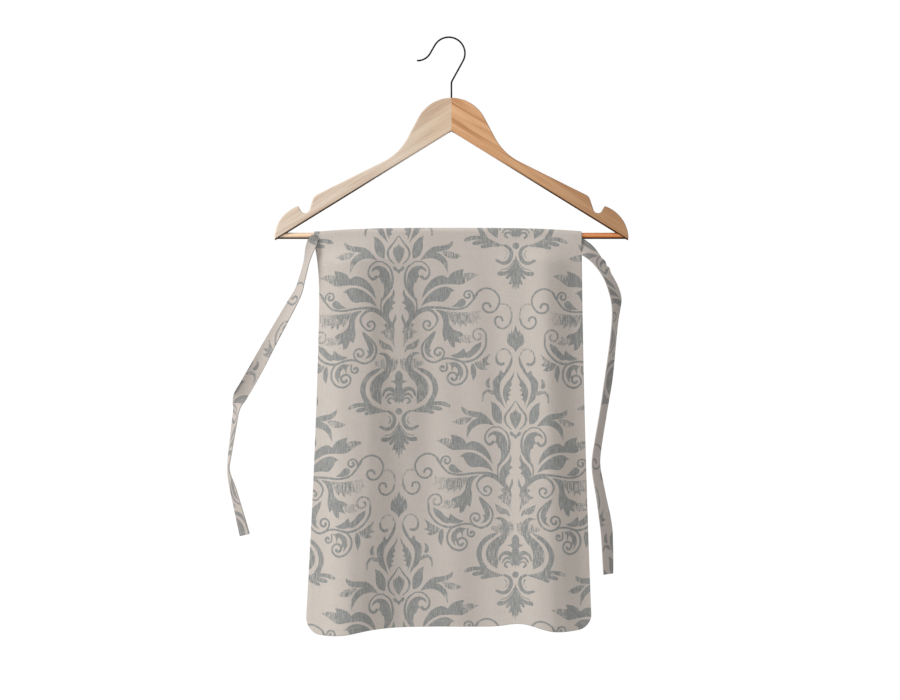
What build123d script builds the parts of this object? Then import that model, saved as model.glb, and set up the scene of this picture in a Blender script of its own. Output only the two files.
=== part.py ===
"""An apron on a wooden hanger: a printed half apron draped over the bar, with two tape ties.

Frame, in millimetres: +Z up, +X to the right, and the apron's skirt on the -Y side, its front.
The origin is the inner face of the hook's bend, straight above the stem, where the hook sits on a rail.
"""

import os
from math import cos, radians, sin, tan

from build123d import *

# ---- driving dimensions -------------------------------------------------------------------
HANGER_WIDTH = 445.0
WOOD_THICK = 12.0
EDGE_ROUND = 1.5
PITCH = 31.7  # the arms' underside, below the horizontal
WOOD_TOP_Z = -75.7
CROTCH_Z = -117.2  # where the two undersides meet, under the stem

WIRE_R = 1.1
BEND_R = 20.3  # the hook's bend, at the wire's centre
BEND_X = -3.3
LEG_ANGLE = 28.7  # the leg from bend to stem, off the vertical
LIP_ANGLE = 30.0  # the lip's straight, off the vertical
LIP_STRAIGHT = 12.0
LIP_R = 18.0
STEM_BEND_R = 8.0
STEM_PLAY = 0.08  # between the stem and its bore, all round
HEAD_R = 2.4
HEAD_H = 2.0
HEAD_GAP = 0.3  # between the stem's head and the washer
WASHER_R = 4.0
WASHER_H = 1.0
COUNTERBORE_R = 4.5
COUNTERBORE_TOP_Z = -101.0

BAR_R = 4.0
BAR_Z = -249.0
BAR_HALF = 219.0
NAIL_R = 0.8
NAIL_HEAD_R = 1.6
NAIL_HEAD_H = 0.8
NAIL_LENGTH = 20.0

CLOTH = 1.5  # the cloth solids' thickness
SADDLE_GAP = 0.5  # between the bar and the cloth over it
WAIST_HALF = 166.0
BACK_LENGTH = 190.0
BACK_HEM_HALF = 163.0
SKIRT_LENGTH = 497.0
TIE_WIDTH = 15.0
TIE_BEND_R = 22.0

# ---- what follows from them ---------------------------------------------------------------
HALF_WIDTH = HANGER_WIDTH / 2
TIP_Z = CROTCH_Z - HALF_WIDTH * tan(radians(PITCH))
FOLD_Y = BAR_R + SADDLE_GAP + CLOTH / 2  # the cloth's middle where it leaves the bar
NAIL_TIP_X = HALF_WIDTH - NAIL_LENGTH


def front(*points):
    """Points drawn as seen from the front, (x, z), in the plane of the hanger."""
    return [Vector(x, 0, z) for x, z in points]


def across(face, thickness):
    """A face in the plane of the hanger, given its thickness evenly to the front and the back."""
    return extrude(face, amount=thickness / 2, dir=(0, 1, 0), both=True)


def rod(radius, x_from, x_to, y=0.0, z=0.0):
    """A round rod along X."""
    middle = Pos((x_from + x_to) / 2, y, z) * Rot(0, 90, 0)
    return middle * Cylinder(radius, abs(x_to - x_from))


def post(radius, z_from, z_to):
    """A round post along Z, on the stem's axis."""
    return Pos(0, 0, (z_from + z_to) / 2) * Cylinder(radius, abs(z_to - z_from))


# ---- the hook -----------------------------------------------------------------------------
def make_hook():
    """The bent wire: lip, bend, slanting leg, and a stem with a head formed on its lower end."""
    bend_z = WIRE_R - BEND_R
    leg = radians(LEG_ANGLE)
    lip = radians(LIP_ANGLE)
    leg_top = (BEND_X + BEND_R * cos(leg), bend_z - BEND_R * sin(leg))
    stem_top_z = leg_top[1] - leg_top[0] / tan(leg)
    head_top_z = COUNTERBORE_TOP_Z - WASHER_H - HEAD_GAP
    lip_top = (BEND_X - BEND_R * cos(lip), bend_z + BEND_R * sin(lip))
    lip_foot = (lip_top[0] - LIP_STRAIGHT * sin(lip), lip_top[1] - LIP_STRAIGHT * cos(lip))
    lip_centre = (lip_foot[0] - LIP_R * cos(lip), lip_foot[1] + LIP_R * sin(lip))
    lip_end = (lip_centre[0], lip_centre[1] - LIP_R)

    plane = Plane.XZ  # its local y is Z, and its normal is -Y
    path = Wire(
        [
            plane * CenterArc(lip_centre, LIP_R, 270, 90 - LIP_ANGLE),
            plane * Line(lip_foot, lip_top),
            plane * CenterArc((BEND_X, bend_z), BEND_R, 180 - LIP_ANGLE, LIP_ANGLE - 180 - LEG_ANGLE),
            *(plane * FilletPolyline(leg_top, (0, stem_top_z), (0, head_top_z), radius=STEM_BEND_R)).edges(),
        ]
    )
    start = Plane(origin=front(lip_end)[0], z_dir=(1, 0, 0))
    wire = sweep(start * Circle(WIRE_R), path=path)
    cap = Pos(*front(lip_end)[0]) * Sphere(WIRE_R)
    head = post(HEAD_R, head_top_z - HEAD_H, head_top_z)
    return wire + cap + head


def make_washer():
    """The steel washer that the stem's head turns under, in the counterbore."""
    ring = post(WASHER_R, COUNTERBORE_TOP_Z - WASHER_H, COUNTERBORE_TOP_Z)
    return ring - post(WIRE_R + 2 * STEM_PLAY, COUNTERBORE_TOP_Z - WASHER_H, COUNTERBORE_TOP_Z)


# ---- the wooden arms ----------------------------------------------------------------------
DOME_R = 47.0
NECK_ANGLE = 62.0  # the neck's steepest run, below the horizontal
NECK_RUN = 29.0
SHOULDER_R = 70.0
SHOULDER_ANGLE = 26.5  # the run along the shoulder
TENON = (24.0, 4.0, 14.0)
TENON_Z = -91.0


def arm_outline():
    """The right arm's outline, from the dome over the joint, along the top, to the tip and back."""
    steep = radians(NECK_ANGLE)
    slope = radians(SHOULDER_ANGLE)
    dome_end = (DOME_R * sin(steep), WOOD_TOP_Z - DOME_R * (1 - cos(steep)))
    neck_end = (dome_end[0] + NECK_RUN * cos(steep), dome_end[1] - NECK_RUN * sin(steep))
    sweep_end = (
        neck_end[0] + SHOULDER_R * (sin(steep) - sin(slope)),
        neck_end[1] - SHOULDER_R * (cos(slope) - cos(steep)),
    )
    sweep_centre = (neck_end[0] + SHOULDER_R * sin(steep), neck_end[1] + SHOULDER_R * cos(steep))
    shoulder_end = (168.0, sweep_end[1] - (168.0 - sweep_end[0]) * tan(slope))
    shoulder = [shoulder_end, (172.6, -200.4), (174.8, -205.2)]
    notch = [(178.2, -215.4), (184.6, -220.6), (189.6, -217.2)]
    prong = (192.8, -211.8)
    outside = [(211.5, -224.2), (HALF_WIDTH, -250.5)]
    tip = (HALF_WIDTH - 0.4, TIP_Z + 0.3)
    dome = CenterArc((0, WOOD_TOP_Z - DOME_R), DOME_R, 90, -NECK_ANGLE)
    sweep_in = CenterArc(sweep_centre, SHOULDER_R, 270 - NECK_ANGLE, NECK_ANGLE - SHOULDER_ANGLE)
    lines = [
        Plane.XZ * dome,
        Plane.XZ * Line(dome_end, neck_end),
        Plane.XZ * sweep_in,
        Plane.XZ * Line(sweep_end, shoulder_end),
        Plane.XZ * ThreePointArc(*shoulder),
        Plane.XZ * Line(shoulder[-1], notch[0]),
        Plane.XZ * ThreePointArc(*notch),
        Plane.XZ * Line(notch[-1], prong),
        Plane.XZ * ThreePointArc(prong, *outside),
        Plane.XZ * Line(outside[-1], tip),
        Plane.XZ * Line(tip, (0, CROTCH_Z)),
        Plane.XZ * Line((0, CROTCH_Z), (0, WOOD_TOP_Z)),
    ]
    return make_face(lines)


def make_nail(side):
    """One round nail, driven in from the arm's tip to the bar. side is 1 on the right."""
    shank = rod(NAIL_R, side * NAIL_TIP_X, side * HALF_WIDTH, z=BAR_Z)
    head = rod(NAIL_HEAD_R, side * (HALF_WIDTH - NAIL_HEAD_H), side * HALF_WIDTH, z=BAR_Z)
    return shank + head


def tenon_block():
    """The space of the loose tenon, across the joint."""
    return Pos(0, 0, TENON_Z) * Box(*TENON)


def stem_bore():
    """The bore that the stem turns in."""
    return post(WIRE_R + STEM_PLAY, COUNTERBORE_TOP_Z, WOOD_TOP_Z + 1)


def make_arm(side):
    """One arm of the hanger, cut for the stem, the tenon, the bar and the nail. side is 1 on the right."""
    counterbore = post(COUNTERBORE_R, CROTCH_Z - 10, COUNTERBORE_TOP_Z)
    socket = rod(BAR_R, 0, BAR_HALF, z=BAR_Z)
    arm = across(arm_outline(), WOOD_THICK)
    arm = arm - stem_bore() - counterbore - tenon_block() - socket - make_nail(1)
    rims = [
        edge
        for edge in arm.edges()
        if abs(abs(edge.center().Y) - WOOD_THICK / 2) < 0.01 and edge.bounding_box().max.X > 0.5
    ]
    arm = fillet(rims, EDGE_ROUND)
    return arm if side > 0 else mirror(arm, about=Plane.YZ)


def make_tenon():
    """The loose tenon glued across the joint, bored through for the stem."""
    return tenon_block() - stem_bore()


def make_bar():
    """The round bar between the arms' tips."""
    return rod(BAR_R, -BAR_HALF, BAR_HALF, z=BAR_Z) - make_nail(1) - make_nail(-1)


# ---- the apron ----------------------------------------------------------------------------
def make_saddle():
    """The cloth over the bar, from fold line to fold line."""
    outer = rod(FOLD_Y + CLOTH / 2, -WAIST_HALF, WAIST_HALF, z=BAR_Z)
    inner = rod(FOLD_Y - CLOTH / 2, -WAIST_HALF, WAIST_HALF, z=BAR_Z)
    below = Pos(0, 0, BAR_Z - 50) * Box(HANGER_WIDTH, 100, 100)
    return outer - inner - below


def section(points, z):
    """A level slice of hanging cloth, along the points (x, y) of its middle."""
    near = [(x, y - CLOTH / 2) for x, y in points]
    far = [(x, y + CLOTH / 2) for x, y in reversed(points)]
    return Pos(0, 0, z) * make_face(Polyline(*near, *far, close=True))


# The hem seen from above, (x, y): one fold stands forward at each side of a flat middle.
HEM_LINE = [
    (-183, -12),
    (-165, -26),
    (-143, -31),
    (-118, -24),
    (-92, -9),
    (-60, -6.5),
    (25, -6.5),
    (72, -9),
    (102, -21),
    (128, -30),
    (148, -28),
    (176, -12),
]


def make_panel():
    """The apron: its skirt in front, the cloth over the bar, and the short drop behind."""
    hem_width = HEM_LINE[-1][0] - HEM_LINE[0][0]
    share = [(x - HEM_LINE[0][0]) / hem_width for x, _ in HEM_LINE]
    skirt_top = section([(WAIST_HALF * (2 * s - 1), -FOLD_Y) for s in share], BAR_Z)
    skirt_hem = section(HEM_LINE, BAR_Z - SKIRT_LENGTH)
    back_top = section([(-WAIST_HALF, FOLD_Y), (WAIST_HALF, FOLD_Y)], BAR_Z)
    back_hem = section([(-BACK_HEM_HALF, FOLD_Y), (BACK_HEM_HALF, FOLD_Y)], BAR_Z - BACK_LENGTH)
    skirt = loft([skirt_top, skirt_hem], ruled=True)
    back = loft([back_top, back_hem], ruled=True)
    return make_saddle() + skirt + back


# Each tie's middle, (x, z), from the waist corner to its free end.
LEFT_TIE = [
    (-174.4, -250.0),
    (-179.0, -274.0),
    (-196.0, -326.0),
    (-266.0, -452.0),
    (-280.0, -532.0),
    (-260.0, -623.0),
]
RIGHT_TIE = [
    (174.6, -250.0),
    (177.0, -266.0),
    (191.0, -292.0),
    (206.0, -331.0),
    (183.0, -534.0),
    (197.0, -672.0),
]


def make_tie(route):
    """One tape tie, laid out in the plane of the skirt's waist."""
    middle = Plane.XZ * FilletPolyline(*route, radius=TIE_BEND_R)
    start = Plane(origin=middle @ 0, x_dir=(0, 1, 0), z_dir=middle % 0)
    return Pos(0, -FOLD_Y, 0) * sweep(start * Rectangle(CLOTH, TIE_WIDTH), path=middle)


def make_parts():
    """Every sub-part, by node name."""
    return {
        "hook_wire": make_hook(),
        "hook_washer": make_washer(),
        "left_arm": make_arm(-1),
        "right_arm": make_arm(1),
        "joint_tenon": make_tenon(),
        "trouser_bar": make_bar(),
        "bar_nails": Compound([*make_nail(-1).solids(), *make_nail(1).solids()]),
        "apron_panel": make_panel(),
        "left_tie": make_tie(LEFT_TIE),
        "right_tie": make_tie(RIGHT_TIE),
    }


os.makedirs("parts", exist_ok=True)
for node, shape in make_parts().items():
    export_step(shape, f"parts/{node}.step")
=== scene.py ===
# %% [markdown]
# # A printed half apron over a hanger's bar
# The hanger, its hook and its bar come from the CAD frame and keep their shape: they only get their wood
# and steel here. The apron and its two ties are soft, so they are made in this file: one cut of cloth with
# its print, hung over the bar, and two tapes of the same cloth.

# %% Load the frame
import math

import bpy
import numpy as np
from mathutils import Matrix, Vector, kdtree
from mathutils.geometry import delaunay_2d_cdt


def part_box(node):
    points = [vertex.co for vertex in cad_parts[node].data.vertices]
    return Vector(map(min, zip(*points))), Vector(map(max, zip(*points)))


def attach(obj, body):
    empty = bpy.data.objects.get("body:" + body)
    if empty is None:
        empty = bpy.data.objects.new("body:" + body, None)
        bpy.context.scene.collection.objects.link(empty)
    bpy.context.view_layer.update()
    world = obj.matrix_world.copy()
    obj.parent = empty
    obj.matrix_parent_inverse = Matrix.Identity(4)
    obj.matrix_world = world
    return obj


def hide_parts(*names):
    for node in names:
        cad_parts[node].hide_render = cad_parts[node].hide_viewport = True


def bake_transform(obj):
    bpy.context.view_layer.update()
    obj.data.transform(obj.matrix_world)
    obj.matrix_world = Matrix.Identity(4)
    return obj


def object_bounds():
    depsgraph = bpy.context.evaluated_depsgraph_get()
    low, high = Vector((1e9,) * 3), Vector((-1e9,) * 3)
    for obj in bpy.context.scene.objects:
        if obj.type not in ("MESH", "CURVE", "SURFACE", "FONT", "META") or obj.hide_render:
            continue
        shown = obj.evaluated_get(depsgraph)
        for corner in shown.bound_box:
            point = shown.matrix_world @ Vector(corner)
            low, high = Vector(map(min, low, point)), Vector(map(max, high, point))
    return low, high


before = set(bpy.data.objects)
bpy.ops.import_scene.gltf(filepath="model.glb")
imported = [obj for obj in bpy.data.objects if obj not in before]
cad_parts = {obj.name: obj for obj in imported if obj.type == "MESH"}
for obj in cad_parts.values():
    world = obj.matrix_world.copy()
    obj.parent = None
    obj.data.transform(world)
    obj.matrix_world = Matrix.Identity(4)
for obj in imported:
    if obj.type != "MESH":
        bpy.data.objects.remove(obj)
cad_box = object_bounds()
MM = 0.001
print("nodes", list(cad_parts))

# %% [markdown]
# ## Camera, floor and light
# The camera looks straight at the front, level, from two and a half metres, so the hanger is seen without
# tilt. The floor is a grey disc well below the hem. The world is white behind the apron and a little dimmer
# in front of it, and one large soft lamp at the upper left gives the folds a bright and a dark side.

# %% Camera
def put_in_scene(name, data):
    """A new object of the scene, showing data."""
    obj = bpy.data.objects.new(name, data)
    bpy.context.scene.collection.objects.link(obj)
    return obj


VIEW_DISTANCE = 2.5
VIEW_WIDTH = 1.133
VIEW_X, VIEW_Z = -0.0018, -0.3927
camera_data = bpy.data.cameras.new("camera")
camera_data.lens = camera_data.sensor_width * VIEW_DISTANCE / VIEW_WIDTH
camera = put_in_scene("camera", camera_data)
camera.location = (VIEW_X, -VIEW_DISTANCE, VIEW_Z)
camera.rotation_euler = (math.pi / 2, 0, 0)
bpy.context.scene.camera = camera
bpy.context.scene.view_settings.view_transform = "Standard"
print("lens", round(camera_data.lens, 2))


# %% Small helpers for node trees
def srgb(red, green, blue):
    """A colour given in 0 to 255 display values, as the linear colour a shader takes."""
    def linear(value):
        value = value / 255
        return value / 12.92 if value <= 0.04045 else ((value + 0.055) / 1.055) ** 2.4
    return (linear(red), linear(green), linear(blue), 1.0)


def new_material(name):
    """A node material, its tree and its shader."""
    material = bpy.data.materials.new(name)
    material.use_nodes = True
    tree = material.node_tree
    shader = next(node for node in tree.nodes if node.type == "BSDF_PRINCIPLED")
    return material, tree, shader


def feed(tree, socket, value):
    """Links an output socket to an input, or sets the input to a plain value."""
    if isinstance(value, bpy.types.NodeSocket):
        tree.links.new(value, socket)
    else:
        socket.default_value = value


def give(tree, node, **inputs):
    """Feeds a node's inputs by name, with _ for each space."""
    for name, value in inputs.items():
        feed(tree, node.inputs[name.replace("_", " ")], value)


def add(tree, kind, **values):
    """A node, with its properties set by name, and its inputs fed by their names after in_."""
    node = tree.nodes.new(kind)
    for key, value in values.items():
        if key.startswith("in_"):
            give(tree, node, **{key[3:]: value})
        else:
            setattr(node, key, value)
    return node


def sums(tree, operation, first, second=0.0):
    """A Math node. Each of first and second is a number or an output socket."""
    node = add(tree, "ShaderNodeMath", operation=operation)
    feed(tree, node.inputs[0], first)
    feed(tree, node.inputs[1], second)
    return node.outputs[0]


def weighed(tree, *pairs, plus=0.0, clamp=False):
    """The sum of output sockets, each times its weight, and of the number plus. clamp keeps it in 0 to 1."""
    total = plus
    for field, weight in pairs:
        node = add(tree, "ShaderNodeMath", operation="MULTIPLY_ADD")
        for socket, value in zip(node.inputs, (field, weight, total)):
            feed(tree, socket, value)
        total = node.outputs[0]
    node.use_clamp = clamp
    return total


def ease(tree, value, start, full, low=0.0, high=1.0):
    """low before start, high after full, eased between them."""
    return add(tree, "ShaderNodeMapRange", interpolation_type="SMOOTHSTEP", in_Value=value, in_From_Min=start,
               in_From_Max=full, in_To_Min=low, in_To_Max=high).outputs[0]


def blend_colour(tree, amount, first, second, mode="MIX"):
    """A colour mix. first and second are colours or output sockets, and amount a number or a socket."""
    node = add(tree, "ShaderNodeMix", data_type="RGBA", blend_type=mode)
    for number, value in ((0, amount), (6, first), (7, second)):
        feed(tree, node.inputs[number], value)
    return node.outputs[2]


def streaks(tree, vector, size, detail=3.0, turn=(0, 0, 0)):
    """Noise drawn out to the sizes given along each axis, in metres."""
    place = add(tree, "ShaderNodeMapping", vector_type="TEXTURE", in_Vector=vector, in_Scale=size,
                in_Rotation=turn)
    noise = add(tree, "ShaderNodeTexNoise", in_Vector=place.outputs[0], in_Scale=1.0, in_Detail=detail)
    return noise.outputs["Fac"]


def ramp(tree, value, *stops):
    """A colour ramp from (place, colour) stops."""
    node = add(tree, "ShaderNodeValToRGB", in_Fac=value)
    elements = node.color_ramp.elements
    while len(elements) < len(stops):
        elements.new(0.5)
    for element, (place, colour) in zip(elements, stops):
        element.position = place
        element.color = colour
    return node.outputs[0]


def raise_surface(tree, shader, height, strength, distance):
    """Bump from a height field."""
    bump = add(tree, "ShaderNodeBump", in_Height=height, in_Strength=strength, in_Distance=distance)
    give(tree, shader, Normal=bump.outputs[0])


# %% Floor
floor_material, tree, shader = new_material("grey_floor")
position = add(tree, "ShaderNodeTexCoord").outputs["Object"]
clouds = streaks(tree, position, (0.3, 0.3, 0.3))
shade = ramp(tree, clouds, (0.3, srgb(146, 145, 143)), (0.7, srgb(156, 155, 153)))
give(tree, shader, Base_Color=shade, Roughness=0.8)

FLOOR_DROP = 0.26  # from the CAD's lowest point
FLOOR_Z = cad_box[0].z - FLOOR_DROP
FLOOR_RADIUS = 0.8
rim = [(FLOOR_RADIUS * math.cos(turn), FLOOR_RADIUS * math.sin(turn), FLOOR_Z)
       for turn in np.linspace(0, 2 * math.pi, 96, endpoint=False)]
floor_mesh = bpy.data.meshes.new("floor")
floor_mesh.from_pydata(rim, [], [list(range(len(rim)))])
floor_mesh.materials.append(floor_material)
floor = put_in_scene("floor", floor_mesh)

# %% Light
world = bpy.data.worlds.new("studio")
bpy.context.scene.world = world
world.use_nodes = True
tree = world.node_tree
tree.nodes.clear()
direction = add(tree, "ShaderNodeTexCoord").outputs["Generated"]
parts = add(tree, "ShaderNodeSeparateXYZ", in_Vector=direction).outputs
behind = ease(tree, parts["Y"], 0.1, 0.75)
above = ease(tree, parts["Z"], -0.8, 0.9, 0.16, 0.94)
strength = add(tree, "ShaderNodeMix", data_type="FLOAT", in_Factor=behind, in_A=above, in_B=1.02)
sky = add(tree, "ShaderNodeBackground", in_Color=(1, 1, 1, 1), in_Strength=strength.outputs[0])
add(tree, "ShaderNodeOutputWorld", in_Surface=sky.outputs[0])


def soft_lamp(name, place, target, size, power):
    """A square area lamp aimed at a point."""
    data = bpy.data.lights.new(name, "AREA")
    data.size = size
    data.energy = power
    lamp = put_in_scene(name, data)
    lamp.location = place
    aim = Vector(target) - Vector(place)
    lamp.rotation_euler = aim.to_track_quat("-Z", "Y").to_euler()


centre = (cad_box[0] + cad_box[1]) / 2
soft_lamp("key", (-2.6, -1.15, 0.35), centre, size=0.9, power=63)
soft_lamp("fill", (1.6, -2.6, 0.3), centre, size=1.6, power=10)

# %% [markdown]
# ## Wood
# The hanger is beech or a like close-grained wood: fine straight lines along each arm, slow changes of
# colour, tiny dark pores, and a thin satin lacquer. Noise stretched along the arm gives all of these, so
# each arm's pattern is turned to its own slope. The two arms are one wood in two colours that paint the
# light: the left arm pale and greyish where the lamp falls on it, the right arm warm and darker as in shade.
# Painted shade also darkens the edges that face up or sideways and the undersides. The bar's grain runs
# along it, and its colour slides from pale at one end to orange at the other, the pale end lightened to
# paint a highlight.

# %% Wood materials
ARM_SLOPE = math.radians(31.7)


def wood(name, pale, mid, deep, turn=0.0, roughness=0.42, tint=None, tinted=None, edge=0.2,
         under=(-0.15, -0.5)):
    """Fine straight-grained wood, its grain along X after the turn about Y.

    The tint deepens from one X to another, given as tinted. Painted shade darkens the edges that face up or
    sideways, by the share edge, and most of all the underside away from the joint, where the surface's upward
    part falls from one value of under to the other; there the wood also reflects less, so it stays dark.
    """
    material, tree, shader = new_material(name)
    position = add(tree, "ShaderNodeTexCoord").outputs["Object"]
    aim = (0, turn, 0)
    broad = streaks(tree, position, (0.13, 0.009, 0.008), 2.5, aim)
    fine = streaks(tree, position, (0.06, 0.0016, 0.0013), 4.0, aim)
    pores = streaks(tree, position, (0.0032, 0.00035, 0.00035), 1.0, aim)
    colour = ramp(tree, weighed(tree, (broad, 0.55), (fine, 0.45)), (0.37, pale), (0.5, mid), (0.64, deep))
    along = add(tree, "ShaderNodeSeparateXYZ", in_Vector=position).outputs["X"]
    if tint:
        colour = blend_colour(tree, ease(tree, along, *tinted), colour, tint, "MULTIPLY")
    dark = sums(tree, "GREATER_THAN", pores, 0.68)
    colour = blend_colour(tree, weighed(tree, (dark, 0.22)), colour, srgb(110, 74, 48))
    # Painted shade: edges that face up or sideways turn dark brown, by the share edge.
    normal = add(tree, "ShaderNodeNewGeometry").outputs["Normal"]
    facing = add(tree, "ShaderNodeSeparateXYZ", in_Vector=normal).outputs
    outward = weighed(tree, (facing["Z"], 1.0), (sums(tree, "ABSOLUTE", facing["X"]), 0.8))
    rim = ease(tree, outward, 0.3, 1.0)
    colour = blend_colour(tree, weighed(tree, (rim, edge)), colour, srgb(92, 56, 34))
    # Painted shade: the underside away from the joint turns near black-brown and loses most of its
    # reflection.
    away = ease(tree, sums(tree, "ABSOLUTE", along), 0.03, 0.12)
    below = sums(tree, "MULTIPLY", ease(tree, facing["Z"], *under), away)
    colour = blend_colour(tree, weighed(tree, (below, 0.94)), colour, srgb(62, 32, 16))
    give(tree, shader, Base_Color=colour, Coat_Roughness=0.35,
         Roughness=weighed(tree, (fine, 0.14), plus=roughness - 0.06),
         Specular_IOR_Level=weighed(tree, (below, -0.5), plus=0.5),
         Coat_Weight=weighed(tree, (below, -0.12), plus=0.12))
    raise_surface(tree, shader, weighed(tree, (fine, 1.0), (dark, -0.6)), 0.18, 0.0004)
    return material


def dress(node, material):
    """Gives a CAD node its material."""
    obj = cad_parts[node]
    obj.data.materials.clear()
    obj.data.materials.append(material)
    print(node, "is", material.name)


# The left arm's pale colour paints the lamp's light on it, the right arm's warmer, darker colour paints
# shade; edge sets how dark the painted edge shade is.
dress("left_arm", wood("beech_painted_lit", srgb(231, 214, 195), srgb(222, 202, 181), srgb(202, 176, 154),
                       turn=-ARM_SLOPE, tint=srgb(250, 240, 228), tinted=(-0.08, 0.0), edge=0.35))
dress("right_arm", wood("beech_painted_shade", srgb(234, 184, 136), srgb(217, 162, 113), srgb(174, 112, 66),
                        turn=ARM_SLOPE, tint=srgb(203, 198, 192), tinted=(0.0, 0.21), edge=0.7))
dress("joint_tenon", wood("tenon_beech", srgb(214, 178, 140), srgb(200, 160, 120), srgb(180, 138, 98)))
# The bar's pale colours are lightened to paint the highlight on its left part; it gets the painted edge and
# underside shade too.
dress("trouser_bar", wood("bar_beech", srgb(255, 230, 198), srgb(250, 216, 182), srgb(228, 180, 142),
                          roughness=0.34, tint=srgb(226, 164, 112), tinted=(-0.16, 0.12), edge=0.3,
                          under=(-0.2, -0.75)))

# %% [markdown]
# ## Steel
# The hook is drawn wire with a black finish, rubbed a little brighter where it has turned on rails. The
# washer and the nails are plain bright steel.

# %% Steel materials
def steel(name, base, rubbed, roughness, draw):
    """Drawn or plain steel: fine scratches of size draw, with rubbed patches."""
    material, tree, shader = new_material(name)
    position = add(tree, "ShaderNodeTexCoord").outputs["Object"]
    patches = streaks(tree, position, (0.012, 0.012, 0.012), 3.0)
    scratches = streaks(tree, position, draw, 2.0)
    colour = ramp(tree, patches, (0.42, base), (0.68, rubbed))
    rough = weighed(tree, (scratches, 0.2), plus=roughness - 0.1)
    give(tree, shader, Base_Color=colour, Metallic=0.85, Roughness=rough)
    raise_surface(tree, shader, scratches, 0.1, 0.0002)
    return material


dress("hook_wire", steel("black_wire", srgb(12, 12, 13), srgb(38, 37, 38), roughness=0.45,
                         draw=(0.0006, 0.0006, 0.006)))
dress("hook_washer", steel("bright_washer", srgb(170, 170, 172), srgb(196, 196, 198), roughness=0.35,
                           draw=(0.004, 0.0004, 0.004)))
dress("bar_nails", steel("nail_steel", srgb(150, 148, 146), srgb(180, 178, 175), roughness=0.4,
                         draw=(0.003, 0.0004, 0.0004)))

# %% [markdown]
# ## The print, as shapes
# The cloth carries a faded grey damask: a tall mirrored figure of leaves, scrolls and a vase, set in
# columns, each column dropped by half a repeat beside the next. It could be drawn by a shader, but scrolls
# take hundreds of nodes there. Here each leaf is a closed outline and each scroll a tapering stroke, in
# millimetres from the figure's middle with Y up, and only the right half is listed. The cloth is later cut
# along these outlines, so their edges stay sharp. The number in front of each shape is how much of the ink
# is left: 1 is solid, and less is worn or hatched. Where shapes overlap the later one counts. The worn
# patches come last of all: they take the ink under them down to their number.

# %% Curves
def smooth_line(points, step):
    """A smooth curve through the points, with a point every step or so."""
    stops = np.array(points, float)
    if len(stops) == 2:
        stops = np.array([stops[0], stops.mean(0), stops[1]])
    ends = np.vstack([2 * stops[0] - stops[1], stops, 2 * stops[-1] - stops[-2]])
    line = []
    for i in range(len(stops) - 1):
        before, start, end, after = ends[i:i + 4]
        count = max(2, int(np.ceil(np.linalg.norm((end - start)[:2]) / step)))
        for t in np.arange(count) / count:
            line.append(0.5 * (2 * start + (end - before) * t
                               + (2 * before - 5 * start + 4 * end - after) * t * t
                               + (3 * start - before - 3 * end + after) * t ** 3))
    line.append(stops[-1])
    return np.array(line)


def leaf_outline(points, step=2.4):
    """A closed outline. A point with a third number is a sharp corner, and the rest is smooth."""
    corners = [i for i, point in enumerate(points) if len(point) > 2] or [0]
    points = [point[:2] for point in points[corners[0]:] + points[:corners[0]]]
    corners = [i - corners[0] for i in corners] + [len(points)]
    ring = points + [points[0]]
    return np.vstack([smooth_line(ring[a:b + 1], step)[:-1] for a, b in zip(corners, corners[1:])])


def stroke_outline(points, widths, step=1.9):
    """A stroke along a smooth line, as wide as widths at its start, middle and end."""
    line = smooth_line(points, step)
    heading = np.gradient(line, axis=0)
    heading /= np.linalg.norm(heading, axis=1)[:, None]
    side = np.stack([-heading[:, 1], heading[:, 0]], 1)
    place = np.linspace(0, 1, len(line))
    width = np.interp(place, (0, 0.5, 1), widths) / 2
    width = np.maximum(width, 0.12)[:, None]
    ring = [line + side * width]
    for end, way in ((-1, 1), (0, -1)):
        if width[end] > 1.2:
            turns = np.radians((45, 90, 135)) if way > 0 else np.radians((-135, -90, -45))
            ring.append([line[end] + width[end] * (side[end] * np.cos(turn) + heading[end] * np.sin(turn))
                         for turn in turns])
        if way > 0:
            ring.append((line - side * width)[::-1])
    return np.vstack(ring)


def curl(centre, outer, turns, start, hand=1):
    """The points of a spiral winding in, from radius outer, starting at an angle in degrees."""
    steps = np.arange(0, turns * 360 + 1, 40)
    radius = outer * (1 - 0.72 * steps / steps[-1])
    angle = np.radians(start + hand * steps)
    return [(centre[0] + r * math.cos(a), centre[1] + r * math.sin(a)) for r, a in zip(radius, angle)]


# %% The figure's leaves
C = 1  # marks a sharp corner
MIDDLE = [  # mirrored into one outline: the right half, from bottom to top
    (0.9, [(0, 82), (3, 87), (10, 93), (10.5, 100), (8, 107, C), (6.8, 104, C), (4.8, 111, C),
           (3.4, 106.5, C), (0, 116)]),
    (1.0, [(0, -15), (4, -9), (7, -2), (7.2, 3), (5.4, 6.5, C), (4.6, 4.5, C), (2.6, 8.5, C), (1.8, 6.5, C),
           (0, 11)]),
    (1.0, [(0, -192), (2, -182), (5, -172), (4.2, -166), (11, -162, C), (5, -160.5), (5, -155), (2.4, -150),
           (0, -149)]),
    (0.9, [(0, -260), (1.5, -251, C), (4, -255, C), (4.6, -248, C), (9, -249, C), (6.4, -240), (7, -233),
           (3, -223), (0, -212)]),
    (1.0, [(0, -204.3), (3, -203.2), (4.3, -200), (3, -196.8), (0, -195.7)]),
    (1.0, [(0, -28), (2.5, -24.5), (6.5, -22.5), (7, -18.5), (4.5, -18), (1.5, -21.5), (0, -22)]),
]
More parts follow.
